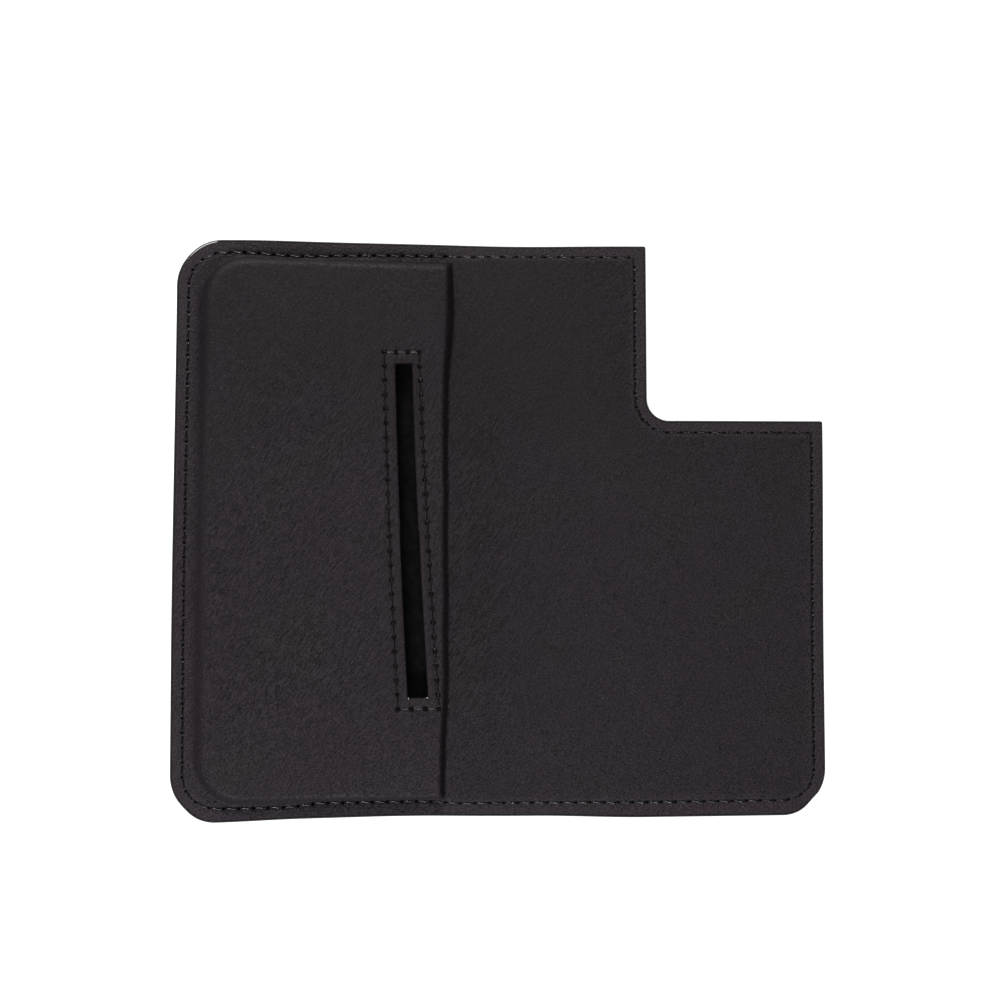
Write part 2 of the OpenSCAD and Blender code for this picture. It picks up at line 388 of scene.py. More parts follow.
def seam_height(x, y, distance, holes, hole_r):
    """The groove that a seam pulls into the leather, with its holes."""
    groove = -GROOVE_DEPTH * np.exp(-((distance / GROOVE_W) ** 2))
    return groove - HOLE_DEPTH * hole_mark(x, y, distance, holes, hole_r)


def hole_mark(x, y, distance, holes, hole_r):
    """1 in the middle of a seam's holes and 0 away from them."""
    close = np.abs(distance) < 1.3
    mark = np.zeros(x.shape)
    mark[close] = np.exp(-((nearest(x[close], y[close], holes) / hole_r) ** 2))
    return mark


def bevel(distance):
    """How far the sanded bevel falls at a distance inside the edge. Its rim is steeper."""
    slope = BEVEL_FALL * np.clip((BEVEL_W - distance) / (BEVEL_W - RIM_W), 0, 1)
    return slope + RIM_FALL * np.clip((RIM_W - distance) / RIM_W, 0, 1)


def round_over(distance, radius):
    """How far a rounded edge falls at a distance inside the edge."""
    t = np.clip(radius - distance, 0, radius)
    return radius - np.sqrt(radius**2 - t**2)


def magnet_relief(x, y):
    """The faint ring and bar that the hidden magnets press up in the lining."""
    cx, cy = (RING_LOW[:2] + RING_HIGH[:2]) / 2
    outer_r = (RING_HIGH[0] - RING_LOW[0]) / 2
    radius = np.hypot(x - cx, y - cy)
    ring = ease((outer_r + 0.6 - radius) / 1.4) * ease((radius - outer_r + 4.6) / 1.4)
    bx, by = (BAR_LOW[:2] + BAR_HIGH[:2]) / 2
    hx, hy = (BAR_HIGH[:2] - BAR_LOW[:2]) / 2
    bar = ease((hx + 0.6 - np.abs(x - bx)) / 1.4) * ease((hy + 0.6 - np.abs(y - by)) / 1.4)
    return 0.13 * np.maximum(ring, bar)


def seam_holes(x):
    """The edge seam's holes on the half that the points belong to."""
    return COVER_HOLES if x.mean() < 0 else BACK_HOLES


def lining_top(x, y):
    """The lining's upper face, which shows when the case is open."""
    edge = edge_distance(x, y)
    z = SHEET_T + 0.05 * waves(x, y, 14.0, 1) * ease((edge - 1) / 4)
    z = z - EDGE_DIP * ease((EDGE_DIP_W - edge) / EDGE_DIP_W)
    z = z + seam_height(x, y, edge - SEAM_INSET, seam_holes(x), EDGE_HOLE_R)
    if x.mean() < 0:
        frame_seam = slit_distance(x, y, *SLIT_SEAM_HALF, SLIT_SEAM_DRIFT)
        lip = slit_distance(x, y, SLIT_HALF_W, SLIT_HALF_L)
        z = z + pocket(x, y) + seam_height(x, y, frame_seam, SLIT_HOLES, SLIT_HOLE_R)
        z = z + 0.12 * np.exp(-(((lip - 0.9) / 0.6) ** 2)) - round_over(np.abs(lip), 0.5)
    else:
        z = z + magnet_relief(x, y)
    return z - bevel(edge)


def lining_bottom(x, y):
    """The lining's lower face, thinned where the slit's facing lies in the pocket."""
    edge = edge_distance(x, y)
    z = OUTER_T + SKIN_GAP + JOIN_CHAMFER * ease(1 - edge / JOIN_CHAMFER)
    if x.mean() < 0:
        skived = 0.2 * ease(0.5 - slit_distance(x, y, *FACING_HALF))
        z = z + np.maximum(pocket(x, y), 0) + skived * ease(pocket(x, y) - 1)
    return z


def outer_top(x, y):
    """The outer leather's hidden upper face."""
    edge = edge_distance(x, y)
    return OUTER_T - SKIN_GAP - JOIN_CHAMFER * ease(1 - edge / JOIN_CHAMFER) + 0 * x


def outer_bottom(x, y):
    """The outer leather's lower face, which shows when the case is closed."""
    edge = edge_distance(x, y)
    seam = seam_height(x, y, edge - SEAM_INSET, seam_holes(x), EDGE_HOLE_R)
    return -seam * (edge < SEAM_INSET + 2) + round_over(edge, OUTER_EDGE_R) + 0.05


def facing_top(x, y):
    return lining_bottom(x, y) - SKIN_GAP


def facing_bottom(x, y):
    return lining_bottom(x, y) - FACING_DEPTH


# ---- Skins and solids ----

def triangulate(loops, inner):
    """Fills the first loop, less the others, through the inner points.
    Returns the points, the triangles and each loop's point numbers."""
    points = np.concatenate([*loops, inner])
    edges, start, order = [], 0, []
    for loop in loops:
        numbers = np.arange(start, start + len(loop))
        edges += list(zip(numbers.tolist(), np.roll(numbers, -1).tolist()))
        order.append(numbers)
        start += len(loop)
    vectors = [Vector(p) for p in points.tolist()]
    found, _, faces, origin, _, _ = geometry.delaunay_2d_cdt(vectors, edges, [], 1, 1e-7)
    where = np.full(len(points), -1)
    for new, olds in enumerate(origin):
        for old in olds:
            where[old] = new
    found = np.array([tuple(v) for v in found])
    faces = np.array(faces)
    if len(loops) > 1:
        centre = found[faces].mean(1)
        faces = faces[~inside_any(centre, loops[1:])]
    return found, faces, [where[o] for o in order]


def inside_any(points, loops):
    """Which points lie inside one of the closed loops."""
    hit = np.zeros(len(points), bool)
    for loop in loops:
        a, b = loop, np.roll(loop, -1, axis=0)
        near = (points >= loop.min(0) - 0.01).all(1) & (points <= loop.max(0) + 0.01).all(1)
        for k in np.flatnonzero(near):
            x, y = points[k]
            cross = (a[:, 1] > y) != (b[:, 1] > y)
            at = a[cross, 0] + (y - a[cross, 1]) * (b[cross, 0] - a[cross, 0]) / (
                b[cross, 1] - a[cross, 1]
            )
            hit[k] |= bool((at > x).sum() % 2)
    return hit


def warp(points):
    """Points moved in plan as the hand-cut outline wanders: the cover's outer edge leans in below,
    the ends are narrower at the spine and wider at the corners, and the seams' rows wander too."""
    x, y, z = points.T
    left = -0.80 * ease((75 - y) / 110) * ease(-x / HALF_W)
    right = 0.55 * ease((y + 40) / 70) * ease(x / HALF_W)
    rim = 0.15 * ease(np.abs(y) / HALF_H) + 0.85 * ease((np.abs(y) - 72) / (HALF_H - 72))
    top = 0.55 * np.exp(-(((x + 68) / 22) ** 2)) - 0.5 * np.exp(-(((x - 3) / 22) ** 2))
    below = 0.65 * ease((-52 - x) / 26) + 0.72 * ease((x - 8) / 30)
    below = below - 0.45 * np.exp(-(((x + 26) / 22) ** 2))
    shift = np.where(y > 0, top, -below) * rim
    at_seam = np.exp(-(((np.abs(y) - (HALF_H - SEAM_INSET)) / 1.6) ** 2))
    high = -0.35 * ease((x + 68) / 14) * ease((2 - x) / 20) - 0.55 * np.exp(-(((x + 54) / 12) ** 2))
    low = 0.15 + 0.95 * ease((x + 57) / 10) * ease((-8 - x) / 14) + 0.3 * ease((x + 18) / 14)
    shift = shift + np.where(y > 0, high, low) * at_seam
    return np.column_stack([x + left + right, y + shift, z])


def make_mesh(name, points, faces, materials, indices=None):
    """A mesh object from millimetre points, which remembers its flat lay for the grain."""
    mesh = bpy.data.meshes.new(name)
    mesh.from_pydata((warp(np.asarray(points)) * MM).tolist(), [], faces)
    rest = mesh.attributes.new("rest", "FLOAT_VECTOR", "POINT")
    rest.data.foreach_set("vector", np.asarray(points, np.float32).ravel())
    for material in materials:
        mesh.materials.append(material)
    if indices is not None:
        mesh.polygons.foreach_set("material_index", np.asarray(indices, np.int32))
    mesh.polygons.foreach_set("use_smooth", np.ones(len(mesh.polygons), bool))
    mesh.update()
    obj = bpy.data.objects.new(name, mesh)
    bpy.context.scene.collection.objects.link(obj)
    return obj


def layer(name, loops, inners, skins, materials, marks, paint_width=PAINT_W, lip=0.0):
    """A closed leather layer between two skins, the upper one first in inners and in skins.
    Its cut edge, and the skin within paint_width of it, is painted. marks gives the painted shade
    in its seams' holes and grooves. The slit's lower end is painted to the width of lip."""
    verts, faces, kinds, rims = [], [], [], []
    count = 0
    for inner, height, flip, kind in zip(inners, skins, (False, True), (0, 2)):
        xy, tris, rim = triangulate(loops, inner)
        z = height(xy[:, 0], xy[:, 1])
        cx, cy = xy[tris].mean(1).T
        painted = edge_distance(cx, cy) < paint_width
        if lip and kind == 0:
            painted |= (slit_distance(cx, cy, SLIT_HALF_W, SLIT_HALF_L) < lip) & (cy < SLIT_Y)
        verts.append(np.column_stack([xy, z]))
        tris = tris + count
        faces += (tris[:, ::-1] if flip else tris).tolist()
        kinds += np.where(painted, 1, kind).tolist()
        rims.append([r + count for r in rim])
        count += len(xy)
    for upper, lower in zip(*rims):
        for a, b in zip(range(len(upper)), np.roll(range(len(upper)), -1)):
            faces.append([int(upper[b]), int(upper[a]), int(lower[a]), int(lower[b])])
            kinds.append(1)
    points = np.concatenate(verts)
    obj = make_mesh(name, points, faces, materials, kinds)
    x, y = points[:, 0], points[:, 1]
    # The hole value carries painted shade in the seams; the second value carries the leather's tone
    # with painted shade on the spine and a painted highlight on the pocket's ridge.
    for key, values in (("hole", marks(x, y)), ("tone_and_painted_light", tone_and_painted_light(x, y))):
        attribute = obj.data.attributes.new(key, "FLOAT", "POINT")
        attribute.data.foreach_set("value", values.astype(np.float32))
    obj.data.set_sharp_from_angle(angle=math.radians(50))
    sharpen_between(obj.data, np.array(kinds))
    return obj


def sharpen_between(mesh, kinds):
    """Makes every edge sharp that lies between faces of two materials."""
    loop_edges = np.empty(len(mesh.loops), np.int32)
    mesh.loops.foreach_get("edge_index", loop_edges)
    sizes = np.empty(len(mesh.polygons), np.int32)
    mesh.polygons.foreach_get("loop_total", sizes)
    loop_kinds = np.repeat(kinds, sizes)
    low, high = np.full(len(mesh.edges), 9), np.full(len(mesh.edges), -1)
    np.minimum.at(low, loop_edges, loop_kinds)
    np.maximum.at(high, loop_edges, loop_kinds)
    sharp = np.empty(len(mesh.edges), bool)
    mesh.edges.foreach_get("use_edge_sharp", sharp)
    mesh.edges.foreach_set("use_edge_sharp", sharp | (low != high))


def tone_and_painted_light(x, y):
    """How light the leather is made: lighter along the margins and darker towards the top, with
    painted shade darkening the spine and back half and a painted highlight on the pocket's upper
    ridge."""
    # The cover is lighter than the spine and back half, whose darkness is painted shade.
    cover = ease((-12.5 - x) / 4)
    margin = ease((5.5 - edge_distance(x, y)) / 2.5)
    upper = ease((y - 5) / 55) * (1 - margin)
    out, share = ridge(x, y)
    # A painted highlight along the pocket's upper ridge.
    painted_ridge_highlight = np.exp(-(((out - 0.8) / 0.9) ** 2)) * share * (y > 0) * ease((near_side(y) - x) / 1.5)
    return np.clip(0.34 + 0.18 * cover + 0.45 * margin - 0.38 * upper + 1.0 * painted_ridge_highlight, 0, 1)


def seam_shade(x, y, distance, holes, hole_r, groove, shift):
    """Painted shade of a seam: black in its holes, and a painted shadow of the thread along its
    groove, moved off the seam line by shift.
    """
    # A painted shadow of the thread along the groove.
    thread_shadow = groove * np.exp(-(((distance - shift) / 0.34) ** 2))
    return np.maximum(thread_shadow, hole_mark(x, y, distance, holes, hole_r))


def edge_seam_shade(x, y):
    """The painted shade of the seam round the case's edge."""
    distance = edge_distance(x, y) - SEAM_INSET
    return seam_shade(x, y, distance, seam_holes(x), EDGE_HOLE_R, EDGE_SHADE, SHADE_SHIFT)


def cover_lining_seam_shade(x, y):
    """The painted shade of both seams that show on the pocket's side."""
    frame_seam = slit_distance(x, y, *SLIT_SEAM_HALF, SLIT_SEAM_DRIFT)
    frame_seam_shade = seam_shade(x, y, frame_seam, SLIT_HOLES, SLIT_HOLE_R, SLIT_SHADE, 0.0)
    return np.maximum(edge_seam_shade(x, y), frame_seam_shade)


def no_seam_shade(x, y):
    """No painted seam shade, for a layer whose seams don't show."""
    return 0 * x


def cut_column():
    """The points on the mid-spine cut, from below to the top, without the two ends."""
    rows = [HALF_H - i for i in INSETS if i > 0]
    inner = HALF_H - max(INSETS)
    middle = np.linspace(-inner, inner, round(2 * inner) + 1)[1:-1]
    ys = sorted(set(np.round(np.concatenate([rows, [-r for r in rows], middle]), 4)))
    return np.array([(0.0, y) for y in ys])


def spread(*stretches):
    """Grid stations: each stretch is (start, end, spacing)."""
    return np.concatenate([np.arange(a, b - 0.3 * s, s) for a, b, s in stretches])


JITTER = 0.12


def grid(xs, ys, keep):
    """Slightly irregular inner points at the stations, where keep allows them."""
    gx, gy = (g.ravel() for g in np.meshgrid(xs, ys))
    gx = gx + JITTER * waves(gx * 3, gy * 3, 1.0, 11)
    gy = gy + JITTER * waves(gx * 3, gy * 3, 1.0, 12)
    ok = keep(gx, gy)
    return np.stack([gx[ok], gy[ok]], 1)


# How far inside the free edge each row of points runs: close over the bevel and over the seam.
EDGE_INSETS = [0.0, 0.04, 0.08, 0.16, 0.24, RIM_W, 0.42, 0.52, BEVEL_W, 0.68, 1.0, 1.5]
SEAM_OFFSETS = [-1.1, -0.75, -0.5, -0.34, -0.17, 0.0, 0.17, 0.34, 0.5, 0.75, 1.1]
INSETS = EDGE_INSETS + [SEAM_INSET + o for o in SEAM_OFFSETS]
COARSE_INSETS = [0.0, 0.04, 0.08, 0.25, 0.8]
RING_END = max(INSETS)


def outline(path):
    """A half's closed outline: its free edge and the cut along the spine's middle."""
    return np.concatenate([path(0.0), cut_column()])


def rows_inside(path, insets):
    """The rows of points inside a half's free edge."""
    return np.concatenate([path(i)[1:-1] for i in insets if i > 0])


def away_from_edge(x, y):
    """Which points lie inside the rows along the edge and the cut."""
    return (edge_distance(x, y) > RING_END + 0.3) & (np.abs(x) > 0.3)


def cover_top_points():
    """Inner points of the cover half's lining, dense where its shape turns."""
    lips = [0.05, 0.12, 0.2, 0.3, 0.6, 1.1]
    rings = [slit_ring(SLIT_HALF_W + o, SLIT_HALF_L + o, 0.5 + o) for o in lips]
    for o in SEAM_OFFSETS[1:-1]:
        w, l = SLIT_SEAM_HALF
        rings.append(slit_ring(w + o, l + o, max(0.3 + o, 0.06), SLIT_SEAM_DRIFT))

    def keep(x, y):
        lip = slit_distance(x, y, SLIT_HALF_W, SLIT_HALF_L)
        seam = slit_distance(x, y, *SLIT_SEAM_HALF, SLIT_SEAM_DRIFT)
        return away_from_edge(x, y) & (lip > 1.5) & (np.abs(seam) > 1.0)

    xs = spread((-83, -64, 0.6), (-64, -33, 1.0), (-33, -19, 0.8), (-19, -13, 0.3), (-13, 0, 0.5))
    ys = spread(
        (-73.5, -68, 0.45), (-68, -56, 0.7), (-56, 56, 1.0), (56, 68, 0.7), (68, 73.5, 0.45)
    )
    return np.concatenate([rows_inside(cover_path, INSETS), *rings, grid(xs, ys, keep)])


def cover_plain_points(hole, fine):
    """Inner points of a cover half skin that has no pocket seam in it."""
    rows = rows_inside(cover_path, INSETS if fine else COARSE_INSETS)
    margin = RING_END + 0.3 if fine else 1.3

    def keep(x, y):
        clear = slit_distance(x, y, SLIT_HALF_W, SLIT_HALF_L) > 0.6 if hole else x < 0
        return (edge_distance(x, y) > margin) & (x < -0.4) & clear

    xs = spread((-86, -74, 1.2), (-74, -20, 1.5), (-20, -12, 0.6), (-12, 0, 0.5))
    ys = spread((-76, 76, 1.3))
    return np.concatenate([rows, grid(xs, ys, keep)])


def back_points(fine):
    """Inner points of a back half skin."""
    rows = rows_inside(back_path, INSETS if fine else COARSE_INSETS)
    margin = RING_END + 0.3 if fine else 1.3

    def keep(x, y):
        return (edge_distance(x, y) > margin) & (x > 0.4)

    xs = spread((0.5, 14, 0.5), (14, 87, 1.2))
    ys = spread((-76, 76, 1.2))
    return np.concatenate([rows, grid(xs, ys, keep)])


# ---- Thread ----

def stitch_mesh(start, end, ground, side, radius, sink, slant, arch, dive, reach):
    """One stitch of three-ply thread between two holes, humped and dipping into both.
    side is 1 on the upper face and -1 on the lower one."""
    way = end - start
    length = math.hypot(*way)
    way = way / length
    across = np.array([way[1], -way[0]])
    t = np.linspace(-0.05, 1.05, 17)
    flat = start + np.outer(t * length, way) + np.outer(slant * (t - 0.5) * 2, across)
    dip = np.maximum(0, 1 - np.minimum(t + 0.05, 1.05 - t) / reach)
    z = ground(flat[:, 0], flat[:, 1]) - side * (sink + dive * dip**2 - 4 * arch * t * (1 - t))
    spine = np.column_stack([flat, z])
    tangent = np.gradient(spine, axis=0)
    tangent /= np.linalg.norm(tangent, axis=1, keepdims=True)
    lateral = np.array([across[0], across[1], 0.0])
    up = np.cross(lateral, tangent)
    up /= np.linalg.norm(up, axis=1, keepdims=True)
    sides = 12
    angle = np.linspace(0, 2 * math.pi, sides, endpoint=False)
    plump = 0.80 + 0.45 * np.exp(-(((t - 0.22) / 0.13) ** 2))
    rings = []
    for k in range(len(t)):
        twist = 3 * (angle + t[k] * length * 1.5)
        r = radius * plump[k] * (1 + 0.14 * np.cos(twist))
        wide = np.outer(np.cos(angle) * r, lateral) * 1.15
        tall = np.outer(np.sin(angle) * r, up[k]) * 0.75
        rings.append(spine[k] + (wide + tall))
    points = np.concatenate(rings)
    faces = []
    for k in range(len(t) - 1):
        for s in range(sides):
            a, b = k * sides + s, k * sides + (s + 1) % sides
            faces.append([a, b, b + sides, a + sides])
    faces.append(list(range(sides))[::-1])
    faces.append([(len(t) - 1) * sides + s for s in range(sides)])
    return points, faces


def thread(name, holes, grounds, shape, material):
    """All the stitches of one seam, on both faces of the leather, as one piece."""
    points, faces, count = [], [], 0
    for ground, side in grounds:
        for start, end in zip(holes[:-1], holes[1:]):
            p, f = stitch_mesh(start, end, ground, side, **shape)
            points.append(p)
            faces += [[i + count for i in face] for face in f]
            count += len(p)
    return make_mesh(name, np.concatenate(points), faces, [material])


def bare_lining_top(x, y):
    """The lining's upper face without seams, which the thread lies in."""
    edge = edge_distance(x, y)
    base = SHEET_T - EDGE_DIP * ease((EDGE_DIP_W - edge) / EDGE_DIP_W)
    return base + np.where(x < 0, pocket(x, y), 0)


def bare_outer_bottom(x, y):
    """The outer leather's lower face without seams."""
    return 0.05 + 0 * x


# ---- Materials ----

def new_material(name):
    """A material with its nodes, links and shader."""
    material = bpy.data.materials.new(name)
    material.use_nodes = True
    nodes, links = material.node_tree.nodes, material.node_tree.links
    return material, nodes, links, nodes["Principled BSDF"]


def add(nodes, kind, **values):
    """A node with its properties and input values set."""
    node = nodes.new(kind)
    for key, value in values.items():
        if hasattr(node, key):
            setattr(node, key, value)
        else:
            node.inputs[key.replace("_", " ")].default_value = value
    return node


def noise_at(nodes, links, where, scale, detail=2.0, rough=0.5, stretch=None, turn=0.0):
    """Noise on the flat lay, in features per millimetre, optionally stretched and turned."""
    source = where.outputs["Vector"]
    if stretch:
        mapping = nodes.new("ShaderNodeMapping")
        mapping.vector_type = "TEXTURE"
        mapping.inputs["Rotation"].default_value = (0, 0, turn)
        mapping.inputs["Scale"].default_value = stretch
        links.new(source, mapping.inputs["Vector"])
        source = mapping.outputs["Vector"]
    node = nodes.new("ShaderNodeTexNoise")
    node.inputs["Scale"].default_value = scale
    node.inputs["Detail"].default_value = detail
    node.inputs["Roughness"].default_value = rough
    links.new(source, node.inputs["Vector"])
    return node.outputs["Fac"]


def ramp(nodes, links, source, low, high, out_low=0.0, out_high=1.0):
    """A smooth step of a value, from out_low to out_high."""
    node = nodes.new("ShaderNodeMapRange")
    node.interpolation_type = "SMOOTHSTEP"
    node.inputs["From Min"].default_value = low
    node.inputs["From Max"].default_value = high
    node.inputs["To Min"].default_value = out_low
    node.inputs["To Max"].default_value = out_high
    links.new(source, node.inputs["Value"])
    return node.outputs["Result"]


def maths(nodes, links, operation, a, b):
    """One sum of two values, each a number or an output."""
    node = nodes.new("ShaderNodeMath")
    node.operation = operation
    for socket, value in zip(node.inputs, (a, b)):
        if isinstance(value, (int, float)):
            socket.default_value = value
        else:
            links.new(value, socket)
    return node.outputs[0]


def mixed(nodes, links, factor, a, b):
    """A blend of two colours, each a tuple or an output."""
    node = nodes.new("ShaderNodeMix")
    node.data_type = "RGBA"
    links.new(factor, node.inputs["Factor"])
    for socket, value in ((node.inputs["A"], a), (node.inputs["B"], b)):
        if isinstance(value, tuple):
            socket.default_value = (*value, 1)
        else:
            links.new(value, socket)
    return node.outputs["Result"]


def scaled(nodes, links, colour, factor):
    """A colour made lighter or darker by a factor."""
    node = add(nodes, "ShaderNodeVectorMath", operation="SCALE")
    links.new(colour, node.inputs[0])
    links.new(factor, node.inputs["Scale"])
    return node.outputs[0]


def cells(nodes, links, where, scale):
    """Distance to the nearest of scattered points, with so many points per millimetre."""
    node = nodes.new("ShaderNodeTexVoronoi")
    node.inputs["Scale"].default_value = scale
    links.new(where.outputs["Vector"], node.inputs["Vector"])
    return node.outputs["Distance"]


def raise_surface(nodes, links, shader, height, depth, strength=1.0):
    """Bumps a shader's surface by a height, with the depth in metres."""
    bump = add(nodes, "ShaderNodeBump", Strength=strength, Distance=depth)
    links.new(height, bump.inputs["Height"])
    links.new(bump.outputs["Normal"], shader.inputs["Normal"])


def rest_place(nodes):
    """A point's place on the flat lay, in millimetres, which moves with the leather."""
    return add(nodes, "ShaderNodeAttribute", attribute_name="rest")


def mesh_value(nodes, key):
    """A value that the mesh carries at its points."""
    return add(nodes, "ShaderNodeAttribute", attribute_name=key).outputs["Fac"]


CREASED_PLACE = (-43, -8, 3)


def leather_material(name, tone_a, tone_b, crease, seed):
    """Smooth full-grain leather: fine pores, hair-thin creases, broad tone changes and dust. Its
    colour also holds painted shade in the seams and on the spine, and a painted highlight on the
    pocket's ridge.
    """
    material, nodes, links, shader = new_material(name)
    where = rest_place(nodes)
    broad = noise_at(nodes, links, where, 0.050 + 0.003 * seed, 3.0)
    middle = noise_at(nodes, links, where, 0.22, 4.0, 0.6)
    lay = nodes.new("ShaderNodeSeparateXYZ")
    links.new(where.outputs["Vector"], lay.inputs[0])
    drift = maths(nodes, links, "MULTIPLY", lay.outputs["Y"], -0.0013)
    broad = maths(nodes, links, "ADD", broad, drift)
    tone = mixed(nodes, links, ramp(nodes, links, broad, 0.35, 0.65), tone_a, tone_b)

    pebble = ramp(nodes, links, cells(nodes, links, where, 1.5), 0.1, 0.75, 1.0, 0.0)
    fine = noise_at(nodes, links, where, 2.4, 3.0, 0.65)
    lines = noise_at(nodes, links, where, 1.0, 3.0, 0.55, (0.5, 3.2, 1.0), math.radians(-36))
    lines = ramp(nodes, links, lines, 0.50, 0.38)
    centre = add(nodes, "ShaderNodeVectorMath", operation="DISTANCE")
    centre.inputs[1].default_value = CREASED_PLACE
    links.new(where.outputs["Vector"], centre.inputs[0])
    area = ramp(nodes, links, centre.outputs["Value"], 75, 25, 0.3, 1.0)
    lines = maths(nodes, links, "MULTIPLY", maths(nodes, links, "MULTIPLY", lines, area), crease)

    height = maths(nodes, links, "MULTIPLY", pebble, 0.30)
    height = maths(nodes, links, "ADD", height, maths(nodes, links, "MULTIPLY", fine, 0.75))
    height = maths(nodes, links, "SUBTRACT", height, lines)
    height = maths(nodes, links, "ADD", height, maths(nodes, links, "MULTIPLY", middle, 0.5))
    raise_surface(nodes, links, shader, height, 0.00019)

    colour = scaled(nodes, links, tone, ramp(nodes, links, fine, 0.33, 0.67, 0.28, 1.72))
    # The mesh's tone values lighten the margins and darken towards the top, and add painted shade
    # on the spine and back half and a painted highlight on the pocket's upper ridge.
    tone_and_light_scale = ramp(nodes, links, mesh_value(nodes, "tone_and_painted_light"), 0.0, 1.0, 0.70, 1.40)
    colour = scaled(nodes, links, colour, tone_and_light_scale)
    speck = ramp(nodes, links, cells(nodes, links, where, 0.16), 0.030, 0.020)
    speck = maths(nodes, links, "MULTIPLY", speck, 0.35)
    colour = mixed(nodes, links, speck, colour, (0.30, 0.29, 0.28))
    hole = mesh_value(nodes, "hole")
    # Painted shade: the seams' holes go black and a painted shadow of the thread darkens each
    # groove.
    painted_hole_shade = ramp(nodes, links, hole, 0.04, 0.3)
    colour = mixed(nodes, links, painted_hole_shade, colour, (0.001, 0.001, 0.001))
    links.new(colour, shader.inputs["Base Color"])
    gloss = ramp(nodes, links, middle, 0.3, 0.7, 0.47, 0.60)
    rough = maths(nodes, links, "ADD", gloss, maths(nodes, links, "MULTIPLY", hole, 0.5))
    links.new(rough, shader.inputs["Roughness"])
    shader.inputs["Specular IOR Level"].default_value = 0.27
    return material


def paint_material():
    """Burnished black edge paint, smooth and glossier than the leather."""
    material, nodes, links, shader = new_material("edge_paint")
    where = rest_place(nodes)
    fine = noise_at(nodes, links, where, 2.0, 3.0)
    raise_surface(nodes, links, shader, fine, 0.00002, 0.4)
    worn = ramp(nodes, links, noise_at(nodes, links, where, 0.4, 4.0, 0.7), 0.45, 0.75)
    tone = mixed(nodes, links, worn, (0.008, 0.007, 0.008), (0.014, 0.012, 0.013))
    links.new(tone, shader.inputs["Base Color"])
    links.new(ramp(nodes, links, fine, 0.3, 0.7, 0.06, 0.10), shader.inputs["Roughness"])
    shader.inputs["Specular IOR Level"].default_value = 0.9
    shader.inputs["Coat Weight"].default_value = 1.0
    shader.inputs["Coat Roughness"].default_value = 0.06
    return material


def flesh_material():
    """The leather's fuzzy flesh side: matt and fibrous. It is nearly black, partly from its own
    colour and partly as painted shade for the slit's dark inside.
    """
    material, nodes, links, shader = new_material("flesh_side")
    where = rest_place(nodes)
    fibres = noise_at(nodes, links, where, 2.4, 5.0, 0.75, (0.6, 1.8, 1.0), math.radians(-25))
    tufts = noise_at(nodes, links, where, 0.5, 3.0)
    both = maths(nodes, links, "ADD", fibres, tufts)
    raise_surface(nodes, links, shader, both, 0.0003)
    light = ramp(nodes, links, both, 0.7, 1.3)
    # Nearly black: the flesh side's own dark colour, darkened further as painted shade inside the
    # slit.
    tone = mixed(nodes, links, light, (0.0015, 0.0014, 0.0014), (0.0070, 0.0062, 0.0062))
    links.new(tone, shader.inputs["Base Color"])
    shader.inputs["Roughness"].default_value = 0.95
    shader.inputs["Specular IOR Level"].default_value = 0.06
    shader.inputs["Sheen Weight"].default_value = 0.02
    shader.inputs["Sheen Roughness"].default_value = 0.6
    return material


def thread_material():
    """Waxed black thread, with a soft glint along its plies."""
    material, nodes, links, shader = new_material("waxed_thread")
    where = rest_place(nodes)
    strands = noise_at(nodes, links, where, 6.0, 2.0)
    raise_surface(nodes, links, shader, strands, 0.00005, 0.7)
    light = ramp(nodes, links, strands, 0.35, 0.65)
    tone = mixed(nodes, links, light, (0.003, 0.003, 0.003), (0.011, 0.010, 0.010))
    links.new(tone, shader.inputs["Base Color"])
    shader.inputs["Roughness"].default_value = 0.13
    shader.inputs["Specular IOR Level"].default_value = 0.5
    return material


def metal_material(name, tone, scale):
    """Plated or rolled metal with fine marks."""
    material, nodes, links, shader = new_material(name)
    place = nodes.new("ShaderNodeTexCoord")
    texture = add(nodes, "ShaderNodeTexNoise", Scale=scale, Detail=4.0)
    links.new(place.outputs["Object"], texture.inputs["Vector"])
    marks = texture.outputs["Fac"]
    links.new(ramp(nodes, links, marks, 0.3, 0.7, 0.22, 0.42), shader.inputs["Roughness"])
    dull = tuple(0.7 * c for c in tone)
    links.new(mixed(nodes, links, marks, dull, tone), shader.inputs["Base Color"])
    shader.inputs["Metallic"].default_value = 1.0
    return material


# ---- The case's pieces ----

LINING_TONES = ((0.0236, 0.0183, 0.0214), (0.0236, 0.0171, 0.0230))
OUTER_TONES = ((0.0205, 0.0142, 0.0182), (0.0182, 0.0136, 0.0184))
LINING_LEATHER = leather_material("lining_leather", *LINING_TONES, crease=1.5, seed=1)
OUTER_LEATHER = leather_material("outer_leather", *OUTER_TONES, crease=0.6, seed=2)
PAINT = paint_material()
FLESH = flesh_material()
THREAD = thread_material()
LINING_SIDES = [LINING_LEATHER, PAINT, FLESH]
OUTER_SIDES = [FLESH, PAINT, OUTER_LEATHER]

cover_loop = outline(cover_path)
back_loop = outline(back_path)
slit_loop = slit_ring(SLIT_HALF_W, SLIT_HALF_L, 0.5)

